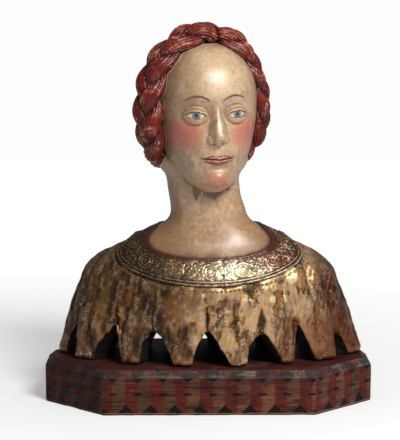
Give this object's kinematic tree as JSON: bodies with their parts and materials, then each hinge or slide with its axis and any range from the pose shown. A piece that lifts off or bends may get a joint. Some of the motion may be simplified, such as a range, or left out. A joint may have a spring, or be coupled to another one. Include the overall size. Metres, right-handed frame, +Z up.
{
  "type": "carved wooden bust on a painted plinth",
  "caption": "Carved, painted and gilded wooden bust with a plaited crown of hair, a collared mantle cut into lappets, and its long octagonal painted plinth.",
  "frame": {"origin": "middle of the plinth's underside", "axes": "+Z up, -Y the front that the bust's chest faces, +X the right as seen from the front, along the plinth's length"},
  "size_m": [0.4, 0.205, 0.4631],
  "materials": {
    "gilded_polychrome_wood": "satin",
    "painted_plinth_wood": "satin"
  },
  "bodies": {
    "root": {"bust": "gilded_polychrome_wood", "plinth": "painted_plinth_wood"}
  },
  "joints": []
}
